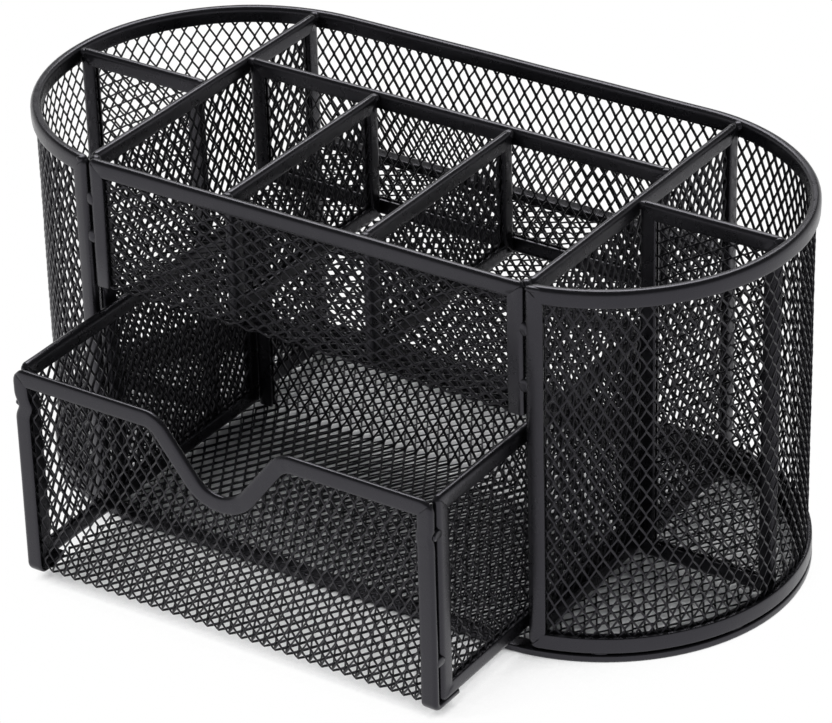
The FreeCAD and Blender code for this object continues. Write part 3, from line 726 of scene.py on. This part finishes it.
PANEL_FOOT_RISE = 0.6
PANEL_OVERHANG = 0.42


def front_panel():
    low, high = span("front_panel_frame")
    shelf_low, shelf_high = span("shelf_mesh")
    bar_low, bar_high = span("shelf_back_strip")
    middle_y = (low[1] + high[1]) / 2
    level = (shelf_low[2] + shelf_high[2]) / 2
    outline = arch(high[0] + PANEL_OVERHANG, low[2] + PANEL_FOOT_RISE, high[2])
    strips = polygon_strips(flat((0, middle_y, 0), (1, 0, 0), (0, 0, 1)), outline,
                            STRIP_HALF, free_ends=True, seed=120)
    piece("front_panel_strips", "stand", "strip", strips, "front_panel_frame")
    ends = [(-bar_high[0], -bar_high[1]), (-bar_low[0], -bar_high[1])]
    spots, along = side_spots(ends[0], ends[1], None, None, 0, STRAIGHT_STEP, seed=131)
    bar = strip(flat((0, 0, level), (-1, 0, 0), (0, -1, 0)), spots, along, along,
                STRIP_HALF, seed=131)
    piece("shelf_back_bar", "stand", "strip", [bar], "shelf_back_strip")
    reach = high[0] - NET_INSET
    back = middle_y - (bar_high[1] - NET_INSET)
    sheet = net(bent(middle_y, level), (-reach, back),
                (reach, high[2] - level - NET_INSET), False, facing=-1, seed=133)
    piece("front_panel_and_shelf_sheet", "stand", "mesh", [sheet],
          "front_panel_mesh", "shelf_mesh")


# Drawer

NOTCH_WIDTH = 45.0
NOTCH_DEPTH = 18.0
NOTCH_SHOULDER = 9.0
NOTCH_FLOOR = 8.5
SHOULDER_STEPS = 13
FLOOR_STEPS = 15
NOTCH_JOINT = 0.01

# The front's posts run on under the floor, and each is dented at its weld: the dent's
# reach and depth
POST_TAIL = 8.0
WELD_DROP = 10.4
BEND_REACH = 0.9
RIGHT_DENT = (1.6, 0.5)
LEFT_DENT = (2.0, 1.15)

DRAWER_FACING = 0.8
FLOOR_INSET = 0.8
FLOOR_START = -0.5
SIDE_LIFT = (0.3, 1.25)
BACK_FOOT_RISE = 1.5


def notch_angles():
    """Sine and cosine of the slope between a shoulder and the floor of the notch."""
    both = NOTCH_SHOULDER + NOTCH_FLOOR
    half = NOTCH_WIDTH / 2
    slope = math.sqrt(half ** 2 + (NOTCH_DEPTH - both) ** 2 - both ** 2)
    square = both ** 2 + slope ** 2
    sine = (both * half + slope * (NOTCH_DEPTH - both)) / square
    cosine = (slope * half - both * (NOTCH_DEPTH - both)) / square
    return sine, cosine


def notch_height(x, top, drop):
    """Height at x of the notched edge, or of a line this far inside it."""
    sine, cosine = notch_angles()
    x = np.abs(x)
    half = NOTCH_WIDTH / 2
    shoulder = NOTCH_SHOULDER - drop
    floor = NOTCH_FLOOR + drop
    shoulder_z = top - NOTCH_SHOULDER
    floor_z = top - NOTCH_DEPTH + NOTCH_FLOOR
    high_x = half - shoulder * sine
    low_x = floor * sine
    rounded = shoulder_z + np.sqrt(np.maximum(shoulder ** 2 - (half - x) ** 2, 0))
    bowl = floor_z - np.sqrt(np.maximum(floor ** 2 - x ** 2, 0))
    slant = shoulder_z + shoulder * cosine - (high_x - x) * sine / cosine
    inner = np.where(x >= high_x, rounded, np.where(x <= low_x, bowl, slant))
    return np.where(x >= half, top - drop, inner)


def notch_spots(top):
    """Places along the notched edge, from right to left."""
    sine, cosine = notch_angles()
    widest = math.atan2(sine, cosine)
    shoulder_z = top - NOTCH_SHOULDER
    floor_z = top - NOTCH_DEPTH + NOTCH_FLOOR
    right = []
    for turn in np.linspace(0, widest, SHOULDER_STEPS):
        x, z = -math.sin(turn), math.cos(turn)
        at = (NOTCH_WIDTH / 2 + NOTCH_SHOULDER * x, shoulder_z + NOTCH_SHOULDER * z)
        right.append((at, (-x, -z)))
    for turn in np.linspace(widest, 0, FLOOR_STEPS):
        x, z = -math.sin(turn), math.cos(turn)
        right.append(((-NOTCH_FLOOR * x, floor_z - NOTCH_FLOOR * z), (-x, -z)))
    left = [((-at[0], at[1]), (-way[0], way[1])) for at, way in reversed(right[:-1])]
    return [spot(at, way) for at, way in right + left]


def drawer_front_strips(place, half, top):
    """A post up each side of the front, and the notched edge between them."""
    tail = HALF_ARC + POST_TAIL
    weld_at = top - WELD_DROP
    notch_end = NOTCH_WIDTH / 2 + NOTCH_JOINT
    to_left, to_right, down = np.array([-1, 0]), np.array([1, 0]), np.array([0, -1])
    right_post, up_way = side_spots(
        (half, -tail), (half, top), None, down, FRONT_CORNER_RADIUS, STRAIGHT_STEP,
        ((tail, BEND_REACH, 0.0), (tail + weld_at, *RIGHT_DENT)), seed=201,
    )
    lead, left_way = side_spots(
        (half, top), (notch_end, top), to_left, None, FRONT_CORNER_RADIUS, CREST_STEP,
        waves=0.0, seed=202,
    )
    rest, _ = side_spots(
        (-notch_end, top), (-half, top), None, to_right, FRONT_CORNER_RADIUS,
        CREST_STEP, waves=0.0, seed=203,
    )
    left_post, down_way = side_spots(
        (-half, top), (-half, -tail), down, None, FRONT_CORNER_RADIUS, STRAIGHT_STEP,
        ((top, BEND_REACH, 0.0), (top - weld_at, *LEFT_DENT)), seed=204,
    )
    crest = lead[:-1] + notch_spots(top) + rest[1:]
    return [
        strip(place, right_post, up_way, up_way, FRONT_HALF, seed=211),
        strip(place, crest, left_way, left_way, FRONT_HALF, seed=212),
        strip(place, left_post, down_way, down_way, FRONT_HALF, seed=213),
    ]


def drawer_front_and_floor():
    """The front's strips, and one sheet bent from front to floor and floor to back."""
    low, high = span("drawer_front_frame")
    back_low, back_high = span("drawer_back_frame")
    middle_y = low[1] + FRONT_HALF
    level = low[2] + FRONT_HALF
    back_y = (back_low[1] + back_high[1]) / 2
    length = bent_length(middle_y, back_y)
    place = bent(middle_y, level, back_y)
    top = high[2] - level - BEND_RISE
    strips = drawer_front_strips(place, high[0], top)
    piece("drawer_front_strips", "drawer", "strip", strips, "drawer_front_frame")
    front_reach = high[0] - NET_INSET
    floor_reach = span("drawer_floor_mesh")[1][0] - FLOOR_INSET
    back_reach = back_high[0] - NET_INSET

    def inside(u, v):
        reach = np.where(v < FLOOR_START, floor_reach, front_reach)
        reach = np.where(v < -length - HALF_ARC, back_reach, reach)
        return (v < notch_height(u, top, NET_INSET)) & (np.abs(u) < reach)

    back_top = back_high[2] - level - BEND_RISE - NET_INSET
    sheet = net(place, (-front_reach, -length - back_top),
                (front_reach, top - NET_INSET), True, inside=inside,
                facing=DRAWER_FACING, seed=215)
    piece("drawer_bent_sheet", "drawer", "mesh", [sheet],
          "drawer_front_mesh", "drawer_floor_mesh", "drawer_back_mesh")


def drawer_back():
    """A strip up each side and along the top. Below, the floor's sheet bends up."""
    low, high = span("drawer_back_frame")
    outline = arch(high[0], low[2] + BACK_FOOT_RISE, high[2])
    upright = flat((0, (low[1] + high[1]) / 2, 0), (1, 0, 0), (0, 0, 1))
    strips = polygon_strips(upright, outline, STRIP_HALF, free_ends=True, seed=250)
    piece("drawer_back_strips", "drawer", "strip", strips, "drawer_back_frame")


def drawer():
    drawer_front_and_floor()
    framed("drawer_left_side", "drawer", 230, lift=SIDE_LIFT)
    framed("drawer_right_side", "drawer", 240, facing=-1, lift=SIDE_LIFT)
    drawer_back()


# Welds: the half sizes of each kind of lump

BASE_LUMP = (2.3, 0.5, 0.45)
CORNER_LUMP = (1.25, 1.2, 1.9)
CORNER_LUMP_SQUARE = 0.5
DRAWER_LUMP = (0.8, 1.8, 1.35)
DRAWER_LUMP_SQUARE = 0.65
JUNCTION_LUMP = (1.5, 1.35, 1.2)

# Places round the base: degrees on each round end, and shares of half the back
BASE_LUMP_INSET = 1.0
BASE_LUMP_ANGLES = (-60, -20, 20, 60)
BASE_LUMP_SHARES = (-0.6, 0, 0.6)

# Side of the corner lumps, and how far above the lowest and below the highest weld
CORNER_LUMP_PLACES = ((-1, 8.5, 4.4), (1, 3.0, 5.2))
LUMP_FORWARD = 0.1
DRAWER_LUMP_INSET = 0.6
DRAWER_LUMP_RISE = 2

# Lumps where dividers meet strips: depth under the top edge, and steps from the strips
JUNCTION_DROP = 1.35
SHELL_JUNCTION_OUT = 1.2
SHELL_JUNCTION_IN = 3.6
PANEL_JUNCTION_IN = 1.4
PANEL_JUNCTION_BACK = 0.6
LONG_JUNCTION_IN = 0.4
END_JUNCTION_IN = 0.9
CROSS_JUNCTION_IN = 0.5

# Lumps on the shell's top front corners: side and half length
TOP_CORNER_LUMPS = ((-1, 1.2), (1, 2.3))
TOP_CORNER_LUMP_HALF = (0.95, 0.85)
TOP_CORNER_STEP = (2.2, 1.4, 1.0)
TOP_CORNER_TURN = 0.1


def base_weld_lumps():
    level = (BASE_HIGH[2] + SHELL_BOTTOM) / 2
    radius = END_RADIUS - BASE_LUMP_INSET
    lumps = []
    for side in (-1, 1):
        for angle in BASE_LUMP_ANGLES:
            turn = math.radians(angle)
            centre = (side * (CENTRE_X + radius * math.cos(turn)),
                      MIDDLE_Y + radius * math.sin(turn), level)
            heading = math.atan2(math.cos(turn), -side * math.sin(turn))
            lumps.append(lump(centre, BASE_LUMP, heading, seed=len(lumps)))
    for share in BASE_LUMP_SHARES:
        centre = (share * CENTRE_X, MIDDLE_Y + radius, level)
        lumps.append(lump(centre, BASE_LUMP, seed=len(lumps)))
    piece("base_weld_lumps", "stand", "weld", lumps, "base_welds")


def corner_weld_lumps():
    """Welds between the shell's posts and the front panel."""
    panel_low, panel_high = span("front_panel_frame")
    weld_low, weld_high = span("corner_welds")
    y = (panel_low[1] + panel_high[1]) / 2 - LUMP_FORWARD
    lumps = []
    for side, rise, drop in CORNER_LUMP_PLACES:
        x = side * (panel_high[0] + FRONT_X) / 2
        for z in (weld_low[2] + rise, weld_high[2] - drop):
            lumps.append(lump((x, y, z), CORNER_LUMP, seed=len(lumps) + 20,
                              square=CORNER_LUMP_SQUARE))
    piece("corner_weld_lumps", "stand", "weld", lumps, "corner_welds")


def drawer_weld_lumps():
    """Welds between the drawer's front and its sides."""
    front_high = span("drawer_front_frame")[1]
    side_low = span("drawer_right_side_frame")[0]
    weld_low, weld_high = span("drawer_welds")
    y = (front_high[1] + side_low[1]) / 2 - LUMP_FORWARD
    lumps = []
    for side in (-1, 1):
        x = side * (front_high[0] - DRAWER_LUMP_INSET)
        for z in (weld_low[2] + DRAWER_LUMP_RISE, weld_high[2] - DRAWER_LUMP_RISE):
            lumps.append(lump((x, y, z), DRAWER_LUMP, seed=len(lumps) + 40,
                              square=DRAWER_LUMP_SQUARE))
    piece("drawer_weld_lumps", "drawer", "weld", lumps, "drawer_welds")


def junction_weld_lumps():
    """Welds under the top edge, where the dividers meet each other and the shell."""
    long_low, long_high = span("long_divider_frame")
    end_low, end_high = span("right_end_divider_frame")
    panel_back = span("front_panel_frame")[1][1]
    side_x = (long_high[0] + FRONT_X) / 2 + SHELL_JUNCTION_OUT
    long_y = (long_low[1] + long_high[1]) / 2
    end_y = (end_low[1] + end_high[1]) / 2
    half_places = [
        (side_x, TOP_HIGH[1] - SHELL_JUNCTION_IN, 0.0),
        (side_x - PANEL_JUNCTION_IN, panel_back + PANEL_JUNCTION_BACK, 0.6),
        (long_high[0] - LONG_JUNCTION_IN, long_y, 0.0),
        (end_low[0] + END_JUNCTION_IN, end_y, 0.0),
        (end_high[0] - END_JUNCTION_IN, end_y, 0.5),
    ]
    places = [(side * x, y, side * turn)
              for side in (-1, 1) for x, y, turn in half_places]
    for name in ("cross_divider_left", "cross_divider_right"):
        low, high = span(name + "_frame")
        x = (low[0] + high[0]) / 2
        places += [(x, low[1] + CROSS_JUNCTION_IN, 0.0),
                   (x, high[1] - CROSS_JUNCTION_IN, 0.0)]
    lumps = []
    for x, y, turn in places:
        centre = (x, y, SHELL_TOP - JUNCTION_DROP)
        lumps.append(lump(centre, JUNCTION_LUMP, turn, seed=len(lumps) + 60))
    out, back, down = TOP_CORNER_STEP
    for side, half_length in TOP_CORNER_LUMPS:
        centre = (side * (FRONT_X + out), TOP_LOW[1] + back, SHELL_TOP - down)
        lumps.append(lump(centre, (half_length, *TOP_CORNER_LUMP_HALF), TOP_CORNER_TURN,
                          seed=len(lumps) + 60))
    piece("junction_weld_lumps", "stand", "weld", lumps)


def welds():
    base_weld_lumps()
    corner_weld_lumps()
    drawer_weld_lumps()
    junction_weld_lumps()


# Studio, in metres

FLOOR_REACH = 3.0
PAPER_COLOUR = (0.84, 0.84, 0.84, 1)
WHITE = (1, 1, 1, 1)

# The paper is shaded where less than the first share of the sky over it is open, and
# plain white from the second share on
OPEN_SHARES = (0.26, 0.44)
OPEN_DISTANCE = 0.12
OPEN_SAMPLES = 8

# In mirrors the world is white up to the first height, and dims up to the second
WHITE_UP_TO = 0.05
DARK_FROM = 0.4
OVERHEAD_IN_MIRRORS = 0.12
SKY_COLOUR = (0.92, 0.95, 1.0, 1)
SKY_STRENGTH = 0.4

# Name, place, width and length, power, and whether mirrors see it
LAMPS = (
    ("overhead", (-0.35, 0.5, 0.9), (0.8, 0.6), 8.6, True),
    ("front", (-0.55, -1.0, 0.65), (0.9, 0.7), 2.6, False),
    ("right", (1.1, -0.35, 0.5), (0.6, 0.6), 1.5, False),
)
LAMP_AIM = (0, 0, 0.05)


def area_light(name, at, size, power, in_mirrors):
    """A soft lamp that faces the stand."""
    data = bpy.data.lights.new(name, "AREA")
    data.shape = "RECTANGLE"
    data.size, data.size_y = size
    data.energy = power
    lamp = bpy.data.objects.new(name, data)
    lamp.location = at
    heading = Vector(LAMP_AIM) - Vector(at)
    lamp.rotation_euler = heading.to_track_quat("-Z", "Y").to_euler()
    lamp.visible_glossy = in_mirrors
    bpy.context.scene.collection.objects.link(lamp)


def remap(tree, source, low, high, first, last):
    """Carry a value from low..high to first..last, and no further."""
    node = tree.nodes.new("ShaderNodeMapRange")
    for socket, value in (("From Min", low), ("From Max", high),
                          ("To Min", first), ("To Max", last)):
        node.inputs[socket].default_value = value
    tree.links.new(source, node.inputs["Value"])
    return node.outputs["Result"]


def greater(tree, first, second):
    """The greater of two values."""
    node = tree.nodes.new("ShaderNodeMath")
    node.operation = "MAXIMUM"
    tree.links.new(first, node.inputs[0])
    tree.links.new(second, node.inputs[1])
    return node.outputs[0]


def mixed(tree, share, first, second):
    """The first shader, with this share of the second."""
    node = tree.nodes.new("ShaderNodeMixShader")
    for number, source in enumerate((share, first, second)):
        tree.links.new(source, node.inputs[number])
    return node.outputs[0]


def seen_as(tree, shown, seen_by_light, out):
    """Mix two shaders so that only the camera and mirrors see the first."""
    path = tree.nodes.new("ShaderNodeLightPath")
    either = greater(tree, path.outputs["Is Camera Ray"], path.outputs["Is Glossy Ray"])
    tree.links.new(mixed(tree, either, seen_by_light, shown), out)


def paper():
    """Matte paper with the object's shadow, plain white where the sky is open."""
    material = bpy.data.materials.new("paper")
    material.use_nodes = True
    tree = material.node_tree
    tree.nodes.clear()
    out = tree.nodes.new("ShaderNodeOutputMaterial")
    matte = tree.nodes.new("ShaderNodeBsdfDiffuse")
    matte.inputs["Color"].default_value = PAPER_COLOUR
    white = tree.nodes.new("ShaderNodeEmission")
    white.inputs["Color"].default_value = WHITE
    white.inputs["Strength"].default_value = 1.0
    open_sky = tree.nodes.new("ShaderNodeAmbientOcclusion")
    open_sky.samples = OPEN_SAMPLES
    open_sky.inputs["Distance"].default_value = OPEN_DISTANCE
    share = remap(tree, open_sky.outputs["AO"], *OPEN_SHARES, 0.0, 1.0)
    shown = mixed(tree, share, matte.outputs[0], white.outputs[0])
    seen_as(tree, shown, matte.outputs[0], out.inputs["Surface"])
    return material


def lay_floor():
    mesh = bpy.data.meshes.new("floor")
    corners = rectangle((-FLOOR_REACH, -FLOOR_REACH), (FLOOR_REACH, FLOOR_REACH))
    mesh.from_pydata([(x, y, 0) for x, y in corners], [], [(0, 1, 2, 3)])
    mesh.materials.append(paper())
    thing = bpy.data.objects.new("floor", mesh)
    bpy.context.scene.collection.objects.link(thing)


def backdrop():
    """A world that is white for the camera, and a soft pale sky for the light."""
    world = bpy.data.worlds.new("studio")
    world.use_nodes = True
    bpy.context.scene.world = world
    tree = world.node_tree
    tree.nodes.clear()
    out = tree.nodes.new("ShaderNodeOutputWorld")
    bright = tree.nodes.new("ShaderNodeBackground")
    bright.inputs["Color"].default_value = WHITE
    heading = tree.nodes.new("ShaderNodeTexCoord")
    parted = tree.nodes.new("ShaderNodeSeparateXYZ")
    tree.links.new(heading.outputs["Generated"], parted.inputs[0])
    in_mirrors = remap(tree, parted.outputs["Z"], WHITE_UP_TO, DARK_FROM,
                       1.0, OVERHEAD_IN_MIRRORS)
    path = tree.nodes.new("ShaderNodeLightPath")
    strength = greater(tree, path.outputs["Is Camera Ray"], in_mirrors)
    tree.links.new(strength, bright.inputs["Strength"])
    dim = tree.nodes.new("ShaderNodeBackground")
    dim.inputs["Color"].default_value = SKY_COLOUR
    dim.inputs["Strength"].default_value = SKY_STRENGTH
    seen_as(tree, bright.outputs[0], dim.outputs[0], out.inputs["Surface"])


def studio():
    lay_floor()
    backdrop()
    for lamp in LAMPS:
        area_light(*lamp)
    bpy.context.scene.view_settings.view_transform = "Standard"


# Camera, solved from the photo. Its place is in millimetres from the stand's middle.

TURN = math.radians(34.1446)
RAISE = math.radians(29.4959)
ROLL = math.radians(-1.5436)
FOCAL_PIXELS = 4096.53
IMAGE_WIDTH = 832
CAMERA_AT = (524.675, -776.036, 569.377)
SENSOR_WIDTH = 36.0
CLIP_START = 0.05
CLIP_END = 20.0


def camera():
    forward = np.array([-math.sin(TURN) * math.cos(RAISE),
                        math.cos(TURN) * math.cos(RAISE), -math.sin(RAISE)])
    right = np.array([math.cos(TURN), math.sin(TURN), 0.0])
    up = np.cross(right, forward)
    across = math.cos(ROLL) * right + math.sin(ROLL) * up
    upward = -math.sin(ROLL) * right + math.cos(ROLL) * up
    data = bpy.data.cameras.new("camera")
    data.sensor_width = SENSOR_WIDTH
    data.lens = FOCAL_PIXELS * SENSOR_WIDTH / IMAGE_WIDTH
    data.clip_start = CLIP_START
    data.clip_end = CLIP_END
    eye = bpy.data.objects.new("camera", data)
    turn = Matrix((across, upward, -forward)).transposed().to_4x4()
    place = np.array(CAMERA_AT) + (0, MIDDLE_Y, 0)
    eye.matrix_world = Matrix.Translation(Vector(place * MM)) @ turn
    bpy.context.scene.collection.objects.link(eye)
    bpy.context.scene.camera = eye


base_tray()
shell()
dividers()
front_panel()
drawer()
welds()
studio()
camera()
